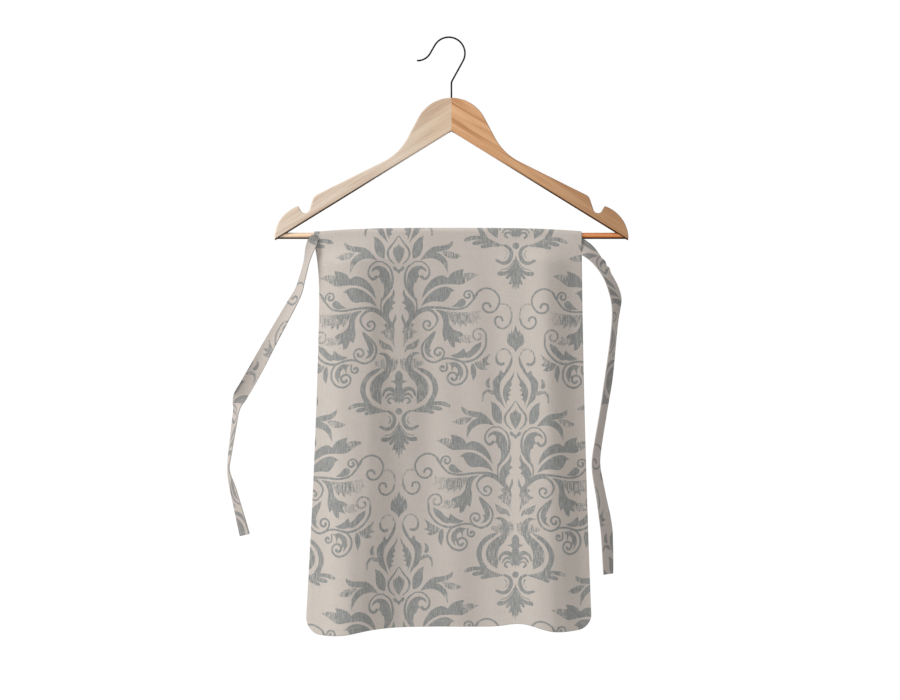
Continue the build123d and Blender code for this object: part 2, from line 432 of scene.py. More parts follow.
LEAVES = [
    (1.0, [(4.6, 78), (4, 70), (7, 62), (13, 53), (18.6, 45), (20, 36), (18.5, 27), (13, 10.5, C),
           (18.5, 17.5), (22, 20.5, C), (25, 24, C), (27, 30), (28.6, 37), (29, 45, C), (26, 50),
           (21.5, 54), (20.5, 58), (18.5, 59.5), (15.5, 56), (12, 61), (7.8, 69)]),
    (1.0, [(1.6, 58.5, C), (6, 50), (12, 43), (15.8, 35), (15.6, 26), (11, 14, C), (11.4, 20),
           (7.6, 22.5, C), (10, 25.5), (6, 28.5, C), (8.8, 31), (5, 34.5, C), (7.6, 37), (4.2, 41, C),
           (5.6, 45), (2.8, 51)]),
    (0.9, [(32.4, 50.4, C), (36.6, 47), (37.8, 41), (35.6, 37.4), (32, 38), (33.4, 44)]),
    (1.0, [(31.5, 20.5, C), (25, 17), (19, 9.5), (17, 1), (18, -8, C), (22, -7.5), (27.5, -3), (30.3, 5),
           (30.4, 13)]),
    (1.0, [(20.5, -58, C), (13.5, -48), (10.2, -38), (12, -27), (18, -19.5), (27, -17.2), (34, -21),
           (35, -25.5, C), (30, -22), (26, -22.5), (24.6, -27), (26.5, -31.5, C), (24, -33), (22, -38.5, C),
           (19.5, -40), (18.4, -48)]),
    (1.0, [(29, -59, C), (33, -46), (42, -34.5), (54, -29.5), (62, -33, C), (66, -27), (74, -23),
           (82, -21.5, C), (80, -28, C), (90, -26), (101, -29, C), (93, -33), (85, -38), (78, -41),
           (64, -40.5), (50, -42), (38, -49)]),
    (1.0, [(28, -68.5, C), (33, -59), (42, -50), (52, -44.8), (62, -44), (71, -49, C), (66, -50.5),
           (62.5, -57), (56, -62.5), (46, -62), (36, -64)]),
    (0.95, [(66, -68.8, C), (72, -65), (76.5, -60), (81, -58.5, C), (84.5, -62), (83, -67), (77, -69.6)]),
    (1.0, [(6.5, -46, C), (9, -54), (16, -61), (20.5, -70), (18.4, -79), (9, -92, C), (12.6, -80),
           (10.4, -74), (6.6, -71, C), (8.8, -67.5), (3.6, -63.5, C), (7.2, -60), (5, -53)]),
    (1.0, [(4.4, -77, C), (3.2, -84), (7.6, -94, C), (8.2, -88), (6.2, -83)]),
    (0.62, [(8, -92), (14, -89), (20.5, -91, C), (16, -96), (24, -100, C), (18, -104), (18, -107, C),
            (11, -111), (5, -120.5, C), (6, -108), (4.6, -99)]),
    (0.74, [(26, -108.5, C), (24.6, -116), (19, -122), (12, -122.6), (7, -126.5, C), (9.4, -118.5),
            (17, -114)]),
    (0.95, [(46, -72.5, C), (53, -79), (56, -88), (55, -101), (57.5, -113, C), (61.5, -109.5, C),
            (65.5, -118), (70.5, -120.5, C), (71, -112.5, C), (79, -115, C), (75.5, -107), (87, -110, C),
            (78, -101), (70, -98), (64, -91), (63, -84), (59, -75)]),
    (0.62, [(60, -74.5, C), (64.5, -84), (70, -92.5, C), (73, -88, C), (78, -95.5, C), (80, -90, C),
            (86, -94.5, C), (86, -89, C), (93, -90, C), (91, -84), (88, -75.6, C), (74, -76)]),
    (0.42, [(86, -75.5, C), (90, -84), (92, -92, C), (100, -90, C), (98, -86, C), (105, -84, C), (101, -80),
            (103, -74, C)]),
    (0.5, [(75, -107, C), (84, -104), (92, -105, C), (90, -110, C), (96, -113, C), (86, -115),
           (78, -112, C)]),
    (1.0, [(47.3, -98, C), (44.6, -107), (40, -117), (38.6, -123, C), (41.5, -121.5, C), (39.4, -128),
           (44.6, -133.4, C), (37, -131), (32.6, -124), (33.6, -115), (39, -107)]),
    (1.0, [(65, -130, C), (74, -127), (82.4, -120.6, C), (84.4, -127, C), (91, -122.4, C), (89, -130),
           (79, -133.4), (70, -132.6)]),
    (1.0, [(84, -133.6, C), (89, -126), (94, -118.5), (104, -113, C), (102.4, -121), (96, -128),
           (90, -132.6)]),
    (1.0, [(62, -139.4, C), (72, -138.6), (79.6, -145), (81, -154), (75.6, -162.4, C), (77, -155, C),
           (72.6, -157, C), (74.4, -149), (70, -144), (66.6, -151.5, C), (66, -143.4)]),
    (1.0, [(92, -139.6, C), (90.4, -148), (93.4, -162, C), (97.4, -154), (96, -143)]),
    (0.72, [(95, -139, C), (99, -145.6), (106, -148.4), (112.4, -147.6, C), (108, -143.4, C),
            (116, -141, C), (111, -137.4), (115.6, -127, C), (108, -132.6), (101, -137)]),
    (1.0, [(27, -10.4, C), (32, -3.6), (37, 2), (43, 6), (52, 7.8), (60, 9.2), (68.4, 14, C), (67.6, 8.6),
           (62.6, 3.4), (54, 0.8), (46.4, -0.4, C), (52, -2.2), (57.6, -7), (61.4, -14), (61.8, -26.4, C),
           (57, -17.4), (51, -11.4), (44, -8.4), (36, -8.2)]),
    (0.6, [(54, 0.4, C), (62, 0.8), (70, -0.8), (79.8, -5.4, C), (72, -8.8), (63.6, -8), (57, -3.8)]),
    (0.95, [(21, -144.6, C), (32, -147), (41, -152.5), (47.5, -162), (49.6, -172), (47, -182), (42.6, -190),
            (36, -194, C), (36.4, -188), (41, -180.5), (42.8, -172), (41, -163), (35.6, -155.6),
            (28, -150.6)]),
    (0.76, [(40, -186, C), (35, -190), (27, -194.8), (14, -199.8, C), (24, -201.4), (36, -201.8, C),
            (42, -196), (46, -190, C)]),
    (0.92, [(40, -188, C), (47, -187.6), (56, -188), (63, -190.6), (65.6, -193.6), (62.6, -195.4),
            (55, -193.2), (47, -192.4), (41, -193.4, C)]),
    (0.88, [(40, -193.8, C), (47, -193.4), (52, -194.6), (55, -197), (52.6, -199.4), (46, -198.8),
            (40, -198, C)]),
    (0.92, [(33, -198.6, C), (39, -198.4), (44, -200.2), (44, -203), (40, -203.4), (32, -201.8, C)]),
    (0.52, [(1.5, -133, C), (4, -136, C), (7, -131, C), (10, -135), (22, -133, C), (24, -137, C),
            (30, -136.5, C), (31, -141), (20, -146), (12, -151, C), (6, -149), (2, -143)]),
    (0.8, [(27, -127, C), (20, -125.8), (13.6, -128.6), (9, -134), (7.4, -141), (9.2, -148), (12, -154),
           (14.6, -158.6, C), (20.4, -164), (23, -173), (22.2, -182), (23, -190.8, C), (30, -186.4),
           (35.6, -180), (37.6, -171), (35.6, -163), (30, -156), (23, -151), (16.8, -146.4), (15.8, -140),
           (16.8, -134), (20, -129.6)]),
]
WORN = [  # patches with straight sides
    (0.62, [(106, -19), (83, -19), (86, -22), (80, -24.5), (84, -27), (79, -30), (84, -33), (80, -36),
            (85, -43), (106, -43)]),
    (0.72, [(72, 17), (58, 17), (60, 12), (56, 9), (59, 6), (55, 2.6), (60, 0.9), (72, 4)]),
    (0.72, [(64, -12), (61, -15), (58, -13), (55, -19), (56, -28), (64, -28)]),
    (0.64, [(69, -186), (57, -186), (60, -189), (56, -191), (59, -194), (57, -197), (69, -197)]),
    (0.66, [(0, -249), (2, -246), (3.4, -249.6), (5, -245), (8, -249), (8, -264), (0, -264)]),
]
print("leaves", len(MIDDLE) + 2 * len(LEAVES))

# %% The figure's strokes and scrolls
STROKES = [
    (0.55, (1.4, 1.5, 2.0), [(5.5, 78), (9, 84), (15, 86.4), (21.6, 83), (24.6, 76)]),
    (1.0, (2.0, 3.0, 3.4), [(24.6, 76), (23.4, 70), (19, 66.8), (15.4, 67.6)]),
    (0.7, (4.6, 3.0, 1.0), [(28.6, 31), (36, 33.6), (41, 29), (42, 20)]),
    (1.0, (0.7, 2.0, 2.6), [(0.4, 20.6), (6, 12), (12.4, 3.6), (13.8, -2)]),
    (1.0, (2.6, 1.6, 0.6), [(13.8, -2), (11.5, -9), (5, -15.6)]),
    (1.0, (2.4, 2.8, 1.1), [(22, -60), (14.6, -52), (9, -42), (7.8, -31), (11.4, -19.6), (20.6, -12)]),
    (1.0, (1.1, 1.6, 3.6), [(20.6, -12), (30, -12.6), (37.6, -20), (38.2, -29), (33, -34), (28.6, -31)]),
    (1.0, (3.6, 2.2, 2.0), [(19, -80), (27, -72.8), (38, -69.8), (54, -70.2), (70, -72), (84, -69.6),
                            (93, -61), (99, -52.5)]),
    (1.0, (2.0, 1.8, 2.6), [(95, -57), (101, -49), (111, -45.6), (121, -49.6), (126.6, -58.6), (125, -68),
                            (119, -75), (111, -75.6), (106, -70.6), (107.4, -65), (113, -64.6),
                            (115.4, -68.6)]),
    (0.5, (1.8, 2.0, 2.0), [(127, -65.6), (136, -66), (141.6, -74), (141.6, -86)]),
    (0.85, (2.0, 2.0, 2.4), [(141.6, -84), (139, -91), (132, -96), (124.6, -94), (121, -87), (123.6, -81.6),
                             (129, -82), (130.6, -86)]),
    (1.0, (2.0, 1.8, 2.8), [(94.6, -59), *curl((87, -54.4), 6.6, 1.15, 10)]),
    (1.0, (5.0, 3.6, 1.8), [(8.6, -93), (14, -86), (24, -77), (35, -72.6), (44, -76), (48.8, -84),
                            (46.4, -92)]),
    (1.0, (1.8, 1.8, 2.8), [(46.4, -92), *curl((36.6, -91), 7.6, 1.0, -60, -1)]),
    (1.0, (1.0, 2.4, 2.0), [(45, -100), (36.6, -108), (30, -117), (29.4, -126), (34, -134.6),
                            (43.6, -138.8), (52, -136)]),
    (1.0, (2.0, 2.0, 3.0), [(52, -136), *curl((50, -126.4), 7.8, 1.15, -40, 1)]),
    (1.0, (2.0, 2.4, 2.0), [(50, -137), (58, -134), (68, -134.4), (80, -138), (92, -136.4), (102, -130),
                            (109, -119), (110, -107)]),
    (0.65, (2.0, 2.0, 2.4), [(110, -107), *curl((100, -105), 9.6, 1.2, 20, 1)]),
    (1.0, (2.0, 2.2, 2.2), [(70, -134.6), (80, -138.6), (85.6, -147), (85.4, -157), (79, -165),
                            (70.6, -167.4)]),
    (1.0, (2.2, 2.0, 3.0), [(70.6, -167.4), *curl((68.6, -157.6), 8.4, 1.2, -110, -1)]),
    (1.0, (1.6, 2.2, 3.2), [(60.4, -139), (60.6, -147), *curl((55.4, -145.8), 4.6, 0.8, -50, -1)]),
    (1.0, (2.0, 5.2, 2.0), [(2, -187), (4.6, -177), (11, -171.6), (18, -174), (20.6, -180)]),
    (1.0, (1.0, 3.2, 1.2), [(3, -187), (6, -180.6), (11, -178), (15, -180.4), (17, -184)]),
    (1.0, (1.0, 2.0, 2.2), [(3.4, -189), (7, -184), (11.4, -183.4), (14, -187), (11, -189.8)]),
    (1.0, (2.4, 5.0, 2.6), [(14, -199.6), (7.6, -204), (5.6, -211), (9, -219.4), (16, -222), (24, -218.6)]),
    (0.5, (1.6, 1.8, 1.4), [(13.6, -205), (10.6, -210.4), (13.4, -216)]),
    (1.0, (0.8, 3.4, 5.4), [(0.8, -220), (6, -229), (13, -234.6), (20.6, -235)]),
    (1.0, (0.6, 2.8, 3.6), [(1.8, -225), (6, -234), (10.6, -240)]),
    (0.8, (0.8, 1.0, 0.6), [(1, -217), (9, -227.5), (19, -230.6)]),
    (1.0, (1.0, 1.6, 1.0), [(7.6, -43), (14, -52.6), (22, -62), (22.6, -72), (20, -79)]),
]


# %% The whole figure
SPREAD = 0.5  # the ink spreads this much beyond a stroke's drawn width


def figure_shapes():
    """The whole figure as (ink left, closed outline), both halves. A worn patch has its number below 0."""
    shapes = []
    for ink, half in MIDDLE:
        right = leaf_outline([half[0][:2] + (C,)] + half[1:-1] + [half[-1][:2] + (C,)] + [
            (-point[0],) + tuple(point[1:]) for point in reversed(half[1:-1])])
        shapes.append((ink, right))
    halves = [(ink, leaf_outline(points)) for ink, points in LEAVES]
    halves += [(ink, stroke_outline(points, np.add(widths, SPREAD))) for ink, widths, points in STROKES]
    halves += [(-ink, leaf_outline([point + (C,) for point in points])) for ink, points in WORN]
    for ink, outline in halves:
        shapes.append((ink, outline))
        shapes.append((ink, outline * (-1, 1)))
    return shapes


FIGURE = figure_shapes()
COLUMN_STEP = 147.2
DROP = 208.0


def print_over(corner, size, start):
    """The shapes that touch a rectangle of flat cloth, whose second axis points down it.

    start is the middle of one figure. The columns and rows are more than enough for the apron.
    """
    found = []
    for column in range(-6, 7):
        for row in range(-4, 5):
            across_cloth = start[0] + column * COLUMN_STEP
            down = start[1] + (column % 2) * DROP + row * 2 * DROP
            for ink, outline in FIGURE:
                placed = np.stack([across_cloth + outline[:, 0], down - outline[:, 1]], 1)
                low, high = placed.min(0), placed.max(0)
                if (high > corner).all() and (low < np.add(corner, size)).all():
                    found.append((ink, placed))
    return found


print("outlines in one figure", len(FIGURE), "points", sum(len(outline) for _, outline in FIGURE))

# %% [markdown]
# ## The cloth's finish
# The cloth is a plain-weave linen mix: uneven threads both ways, a soft sheen, and a print that has sunk
# into the weave and worn off in lines. The weave is drawn on the flat cloth's own measurements, kept in a
# UV map in metres, so it bends with every fold. The attribute named ink says how much print each face still
# has, and a field of thread-like noise decides which threads have lost it.

# %% Cloth material
def cloth_finish(name, ground, slub, ink_colour, ink_light):
    """Printed plain weave. The print's strength comes from the attribute ink."""
    material, tree, shader = new_material(name)
    flat = add(tree, "ShaderNodeUVMap", uv_map="flat").outputs[0]
    ink = add(tree, "ShaderNodeAttribute", attribute_name="ink").outputs["Fac"]

    def noise(across, down, detail=2.0):
        return streaks(tree, flat, (across, down, 1), detail)

    threads = weighed(tree, (noise(0.014, 0.0009), 0.5), (noise(0.0009, 0.016), 0.5))
    plain = ramp(tree, threads, (0.36, slub), (0.52, ground), (0.7, slub))
    cloudy = noise(0.035, 0.035, 3.0)
    plain = blend_colour(tree, weighed(tree, (cloudy, 0.12)), plain, srgb(170, 152, 140))
    patchy = noise(0.016, 0.012, 3.0)
    grit = noise(0.0013, 0.0013)
    raised = weighed(tree, (noise(0.006, 0.0011, 1.0), 0.75), (noise(0.00115, 0.011, 1.0), 1.5), plus=-1.12)
    lost = weighed(tree, (raised, 1.0), (patchy, 0.45), (grit, 0.2), plus=0.115)
    kept = weighed(tree, (ink, 2.166), (lost, -1.9), plus=0.22, clamp=True)
    mottle = weighed(tree, (raised, 1.3), (grit, 0.9), clamp=True)
    shaded = blend_colour(tree, mottle, ink_colour, ink_light)
    colour = blend_colour(tree, weighed(tree, (kept, 0.96)), plain, shaded)
    give(tree, shader, Base_Color=colour, Roughness=0.86, Specular_IOR_Level=0.25, Sheen_Weight=0.12,
         Sheen_Roughness=0.5)
    relief = weighed(tree, (threads, 1.0), (noise(0.03, 0.0022), 0.5))
    raise_surface(tree, shader, relief, 0.35, 0.0006)
    return material


cloth = cloth_finish("printed_linen", srgb(199, 191, 183), srgb(189, 180, 172), srgb(125, 127, 126),
                     srgb(160, 160, 157))
# The ties' cloth is a darker copy of the apron's cloth: painted shade.
shaded_tie_cloth = cloth_finish("printed_linen_ties_painted_shade", srgb(184, 176, 169), srgb(174, 165, 158), srgb(113, 114, 113),
                         srgb(144, 143, 141))
thread, tree, shader = new_material("linen_thread")
position = add(tree, "ShaderNodeTexCoord").outputs["Object"]
twist = streaks(tree, position, (0.0004, 0.0004, 0.0004), 1.0)
colour = ramp(tree, twist, (0.35, srgb(188, 178, 166)), (0.65, srgb(214, 206, 195)))
give(tree, shader, Base_Color=colour, Roughness=0.8)
raise_surface(tree, shader, twist, 0.3, 0.0003)

# %% [markdown]
# ## Cutting the cloth
# The flat cloth is a rectangle with rounded corners and a hem allowance all round. It is cut into triangles
# whose edges follow the print, the fold of the hem and the stretch over the bar, and whose other points sit
# on a loose grid. A constrained Delaunay cut does this in one step, and leaves the grid coarse where
# nothing happens. Everything flat is in millimetres: a across the cloth, and s down it, from the crown over
# the bar.

# %% Flat cloth
class Outline:
    """A rounded rectangle of finished cloth."""

    def __init__(self, left, right, top, bottom, corner):
        self.low = np.array([left + corner, top + corner], float)
        self.high = np.array([right - corner, bottom - corner], float)
        self.corner = corner

    def nearest(self, points):
        """For each point: the outline's nearest point, the way out there, and how far outside it lies."""
        core = np.clip(points, self.low, self.high)
        away = points - core
        reach = np.linalg.norm(away, axis=1)
        inside = reach < 1e-6
        way = away / np.where(inside, 1, reach)[:, None]
        return core + way * self.corner, way, np.where(inside, -1e3, reach - self.corner)

    def loop(self, outward, step=4.0):
        """Points round the outline, moved outward."""
        (x0, y0), (x1, y1) = self.low, self.high
        ring = []
        for centre, start, finish in (((x1, y1), 0, (x0, y1)), ((x0, y1), 90, (x0, y0)),
                                      ((x0, y0), 180, (x1, y0)), ((x1, y0), 270, (x1, y1))):
            for turn in np.radians(np.linspace(start, start + 90, 7)):
                way = np.array([math.cos(turn), math.sin(turn)])
                ring.append(np.array(centre) + way * (self.corner + outward))
            run = np.subtract(finish, centre)
            count = int(np.linalg.norm(run) // step)
            for part in np.arange(1, count) / count:
                ring.append(np.array(centre) + run * part + way * (self.corner + outward))
        return np.array(ring)


# %% Cut
CLEAR = 1.5  # grid points keep this far from every outline
ROW_SHARE = 0.87  # rows of near equal-sided triangles lie this share of the grid's step apart


def cut(outline, allowance, fold, grid, shapes, rows=()):
    """Triangles of flat cloth: (points, triangles, ink).

    fold is the hem's bend radius, grid the step of the loose grid, and rows its extra levels. The ink of a
    shape counts over that of earlier ones, and a shape with ink below 0 only limits what it covers.
    """
    bend = math.pi * fold
    out_by = [-0.6, *np.linspace(0, bend, 5), allowance]
    loops = [outline.loop(distance) for distance in out_by]
    points, edges = [], []
    for ring in loops + [ring for _, ring in shapes]:
        start = len(points)
        points.extend(map(tuple, ring))
        edges.extend((start + i, start + (i + 1) % len(ring)) for i in range(len(ring)))
    tree = kdtree.KDTree(len(points))
    for i, point in enumerate(points):
        tree.insert((*point, 0), i)
    tree.balance()
    low, high = outline.low - outline.corner, outline.high + outline.corner
    levels = sorted(set(np.arange(low[1], high[1], grid * ROW_SHARE)) | set(rows))
    for number, level in enumerate(levels):
        for across_cloth in np.arange(low[0] + (number % 2) * grid / 2, high[0], grid):
            if tree.find((across_cloth, level, 0))[2] > CLEAR:
                points.append((across_cloth, level))
    made = delaunay_2d_cdt([Vector(point) for point in points], edges, [], 0, 1e-4)
    flat = np.array([tuple(point) for point in made[0]])
    triangles = np.array([face for face in made[2] if len(face) == 3])
    middles = flat[triangles].mean(1)
    triangles = triangles[outline.nearest(middles)[2] < allowance]
    middles = flat[triangles].mean(1)
    ink = np.zeros(len(triangles))
    for strength, ring in shapes:
        low, high = ring.min(0), ring.max(0)
        near = np.nonzero(((middles >= low) & (middles <= high)).all(1))[0]
        x, y = middles[near].T
        crossings = np.zeros(len(near), int)
        for (xa, ya), (xb, yb) in zip(ring, np.roll(ring, -1, 0)):
            if ya != yb:
                crossings += ((ya > y) != (yb > y)) & (x < (xb - xa) * (y - ya) / (yb - ya) + xa)
        inside = near[crossings % 2 == 1]
        ink[inside] = strength if strength > 0 else np.minimum(ink[inside], -strength)
    used, triangles = np.unique(triangles, return_inverse=True)
    return flat[used], triangles.reshape(-1, 3), ink


# %% Hem, sheet and normals
def turn_hem(outline, fold, flat):
    """Where flat points lie with the allowance turned under: (points on the finished cloth, depth under)."""
    nearest, way, outside = outline.nearest(flat)
    bend = math.pi * fold
    angle = np.clip(outside, 0, bend) / fold
    along = np.where(outside < bend, fold * np.sin(angle), bend - outside)
    depth = fold - fold * np.cos(angle)
    out = outside > 0
    return np.where(out[:, None], nearest + way * along[:, None], flat), np.where(out, depth, 0)


def sheet_mesh(name, flat, triangles, ink, place, normal, thickness, wrong_side=0.35):
    """A closed sheet: the printed side, the wrong side with less ink, and the raw edge."""
    count = len(flat)
    half = thickness / 2
    verts = np.vstack([place + normal * half, place - normal * half])
    pairs = np.vstack([triangles[:, [0, 1]], triangles[:, [1, 2]], triangles[:, [2, 0]]])
    keys = np.sort(pairs, 1)
    _, index, uses = np.unique(keys, axis=0, return_index=True, return_counts=True)
    raw = pairs[index[uses == 1]]
    faces = triangles.tolist() + (triangles[:, ::-1] + count).tolist()
    faces += [[b, a, a + count, b + count] for a, b in raw.tolist()]
    mesh = bpy.data.meshes.new(name)
    mesh.from_pydata(verts.tolist(), [], faces)
    tone = mesh.attributes.new("ink", "FLOAT", "FACE")
    tones = np.concatenate([ink, ink * wrong_side, np.zeros(len(raw))])
    tone.data.foreach_set("value", tones.astype(np.float32))
    uv = mesh.uv_layers.new(name="flat")
    corner_points = np.zeros(len(mesh.loops), np.int32)
    mesh.loops.foreach_get("vertex_index", corner_points)
    uv.data.foreach_set("uv", (np.vstack([flat, flat])[corner_points] * MM).astype(np.float32).ravel())
    mesh.polygons.foreach_set("use_smooth", [True] * (2 * len(triangles)) + [False] * len(raw))
    mesh.update()
    print(name, "triangles", 2 * len(triangles) + 2 * len(raw))
    return put_in_scene(name, mesh)


def normals_of(place_at, a, s):
    """Unit normals of a mapped sheet, by small steps across and down."""
    tiny = 0.05
    along_a = place_at(a + tiny, s) - place_at(a - tiny, s)
    along_s = place_at(a, s + tiny) - place_at(a, s - tiny)
    normal = np.cross(along_s, along_a)
    return normal / np.linalg.norm(normal, axis=1)[:, None]


# %% [markdown]
# ## How the apron hangs
# The apron is a straight length of cloth over a round bar: it goes up the back, over the bar with a little
# slack in its middle, and down the front. Below the bar it stands forward in one soft fold near each side
# and lies flat between them. A cloth simulation would find folds of its own, so these are given as one
# level section, measured from left to right, that grows from nothing at the bar to its full depth at
# the hem. Across every level the cloth keeps its true width along that section, so the print isn't
# stretched where a fold slopes away.

# %% Bar and hem
bar_low, bar_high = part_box("trouser_bar")
BAR_Z = (bar_low.z + bar_high.z) / 2 / MM
BAR_RADIUS = (bar_high.z - bar_low.z) / 2 / MM
panel_low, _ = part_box("apron_panel")
WRAP = BAR_RADIUS + 1.4  # the cloth's bend over the bar
CROWN = math.pi * WRAP / 2  # from the bar's top round to its side
FRONT = BAR_Z - panel_low.z / MM + CROWN - 1.0  # from the bar's top down to the hem
BACK = CROWN + 190.0
CHART_HALF = 178.0  # half the finished width
CORNER = 15.0
HEM = 9.0  # allowance turned under
FOLD = 0.45  # radius of the turned edge
THICKNESS = 0.5
print("bar", round(BAR_Z, 1), "radius", round(BAR_RADIUS, 2), "front", round(FRONT, 1))


def smooth_table(stops, at):
    """Smooth interpolation through (place, value) stops, with no overshoot."""
    x, y = np.array(stops, float).T
    slope = np.diff(y) / np.diff(x)
    tangent = np.zeros(len(x))
    same = slope[:-1] * slope[1:] > 0
    tangent[1:-1] = np.where(same, 2 * slope[:-1] * slope[1:] / np.where(same, slope[:-1] + slope[1:], 1), 0)
    tangent[0], tangent[-1] = slope[0], slope[-1]
    i = np.clip(np.searchsorted(x, at) - 1, 0, len(x) - 2)
    width = x[i + 1] - x[i]
    t = (at - x[i]) / width
    return ((2 * t ** 3 - 3 * t ** 2 + 1) * y[i] + (t ** 3 - 2 * t ** 2 + t) * width * tangent[i]
            + (3 * t ** 2 - 2 * t ** 3) * y[i + 1] + (t ** 3 - t ** 2) * width * tangent[i + 1])


# %% Section of the folds
FRONT_SECTION = [(0, 5), (0.05, 13), (0.10, 19.5), (0.145, 21.5), (0.19, 19), (0.235, 13), (0.28, 7.5),
                 (0.34, 3.4), (0.42, 1.2), (0.52, 1.2), (0.62, 1.0), (0.67, 2), (0.72, 5), (0.78, 10.5),
                 (0.83, 15.5), (0.86, 17), (0.90, 13.5), (0.94, 7), (0.97, 3), (1, 1.6)]
BACK_SECTION = [(0, 3), (0.12, 6), (0.25, 1.5), (0.42, 3.5), (0.6, 1), (0.78, 5), (0.9, 2), (1, 3.5)]
TOP_DEPTH = 0.62  # the folds' depth just below the bar, as a share of that at the hem
FREE = 0.07  # the folds have left the bar this share of the way down


def section(part, down):
    """How far the cloth stands out from the bar, at parts 0 to 1 of its width and a share of the way down."""
    if down >= 0:
        growth = (TOP_DEPTH + (1 - TOP_DEPTH) * down ** 0.8) * min(1, down / FREE) ** 1.5
        depth = smooth_table(FRONT_SECTION, part) * growth
        ripple = 0.9 * np.sin(21 * part + 3.1 * down + 0.6) + 0.5 * np.sin(47 * part - 5 * down)
        return depth + ripple * min(1, down * 5)
    growth = min(1, -down / 0.25) ** 1.3
    ripple = 0.5 * np.sin(31 * part - 4 * down)
    return (smooth_table(BACK_SECTION, part) + ripple) * growth * min(1, 0.35 - down)


TOP_LEFT, TOP_RIGHT = -164, 163  # the cloth's edges at the bar, before the tie pulls
FLARE_LEFT, FLARE_RIGHT = 18.4, 12.6  # how much farther out they are at the hem
CORNER_PULL = 8.5  # the left tie's root draws its corner out
BACK_TAPER = 2.2  # how much farther in the back's edges end


def edges_at(down):
    """The left and right edges of the hanging cloth, in millimetres from the middle."""
    if down >= 0:
        pull = CORNER_PULL * math.exp(-(down / FREE) ** 1.5)
        return TOP_LEFT - FLARE_LEFT * down ** 1.6 - pull, TOP_RIGHT + FLARE_RIGHT * down ** 1.55
    pull = CORNER_PULL * math.exp(-(-down / 0.12) ** 1.5)
    return TOP_LEFT - BACK_TAPER * down - pull, TOP_RIGHT + BACK_TAPER * down


# %% Charts of the hanging cloth
LEVELS = np.concatenate([np.linspace(-1, 0, 30, endpoint=False), np.linspace(0, 1.03, 90)])
CHART = np.linspace(-CHART_HALF - 2, CHART_HALF + 2, 721)


def hang_chart():
    """Three tables: over level and chart place, where the cloth is across and how far it stands out.

    The third gives its true widths left and right of the middle, over level.
    """
    across_table, out_table, width_table = [], [], []
    for down in LEVELS:
        left, right = edges_at(down)
        x = np.linspace(left, right, 801)
        out_by = section((x - left) / (right - left), down)
        length = np.concatenate([[0], np.cumsum(np.hypot(np.diff(x), np.diff(out_by)))])
        length -= np.interp(0, x, length)
        chart = np.where(length < 0, length / -length[0], length / length[-1]) * CHART_HALF
        past_edge = CHART - np.clip(CHART, -CHART_HALF, CHART_HALF)
        across_table.append(np.interp(CHART, chart, x) + past_edge)
        out_table.append(np.interp(CHART, chart, out_by))
        width_table.append([-length[0], length[-1]])
    return np.array(across_table), np.array(out_table), np.array(width_table)


ACROSS, OUT, WIDTHS = hang_chart()


def level_of(s):
    """Distance down the front as a share of its length, or down the back as a negative share."""
    in_front = np.clip(s - CROWN, 0, None) / (FRONT - CROWN)
    behind_bar = np.clip(-s - CROWN, 0, None) / (BACK - CROWN)
    return in_front - behind_bar


def look_up(table, a, down):
    """The table's value between its levels and its chart places."""
    row = np.interp(down, LEVELS, np.arange(len(LEVELS)))
    column = np.interp(a, CHART, np.arange(len(CHART)))
    i, j = np.minimum(row.astype(int), len(LEVELS) - 2), np.minimum(column.astype(int), len(CHART) - 2)
    u, v = row - i, column - j
    top = table[i, j] * (1 - v) + table[i, j + 1] * v
    return top * (1 - u) + (table[i + 1, j] * (1 - v) + table[i + 1, j + 1] * v) * u


# %% Slack, hem and place
SLACK = 4.6  # how far the cloth stands off the bar's top in its middle
SLACK_HALF = 166


def slack(x):
    """How far the cloth stands off the bar's top: nothing at its edges."""
    return SLACK * (1 - np.clip(np.abs(x) / SLACK_HALF, 0, 1) ** 3.2)


HEM_WAVES = [  # middle, width and drop
    (-142, 34, 5.5), (130, 22, 2.2), (182, 20, -6.0), (-186, 12, -4.0), (87, 25, -5.6), (-10, 70, -1.2),
]


def hem_drop(x, down):
    """The hem isn't level: it hangs longer in the two folds, and shorter between them and at the corners."""
    wave = sum(size * np.exp(-((x - middle) / width) ** 2) for middle, width, size in HEM_WAVES)
    return wave * np.clip(down, 0, 2) ** 2.5


def apron_place(a, s):
    """A point of the finished cloth, in metres."""
    down = level_of(s)
    x = look_up(ACROSS, a, down)
    out_by = look_up(OUT, a, down)
    top = BAR_Z + slack(x)
    round_bar = np.clip(s, -CROWN, CROWN) / WRAP
    straight = np.clip(np.abs(s) - CROWN, 0, None)
    y = -WRAP * np.sin(round_bar) - np.sign(s) * out_by
    z = top + WRAP * np.cos(round_bar) - straight - hem_drop(x, down) * (s > 0)
    return np.stack([x, y, z], 1) * MM


# %% The apron
PRINT_START = (80.9, 241.6)
apron_outline = Outline(-CHART_HALF, CHART_HALF, -BACK, FRONT, CORNER)


def to_chart(points):
    """True flat millimetres to chart places, which are as wide at every level."""
    down = level_of(points[:, 1])
    left, right = (np.interp(down, LEVELS, column) for column in WIDTHS.T)
    half = np.where(points[:, 0] < 0, left, right)
    return np.stack([points[:, 0] / half * CHART_HALF, points[:, 1]], 1)


REACH = 205  # print this far from the middle can still reach the cloth
figures = print_over((-REACH, -BACK - HEM), (2 * REACH, FRONT + BACK + 2 * HEM), PRINT_START)
figures = [(ink, to_chart(ring)) for ink, ring in figures]
limit = CHART_HALF + HEM + 3
figures = [(ink, ring) for ink, ring in figures if ring[:, 0].max() > -limit and ring[:, 0].min() < limit]
bar_rows = np.arange(-10, 10.1, 1.0)
flat, triangles, ink = cut(apron_outline, HEM, FOLD, grid=4.6, shapes=figures, rows=bar_rows)
finished, _ = turn_hem(apron_outline, FOLD, flat)
normal = normals_of(apron_place, *finished.T)


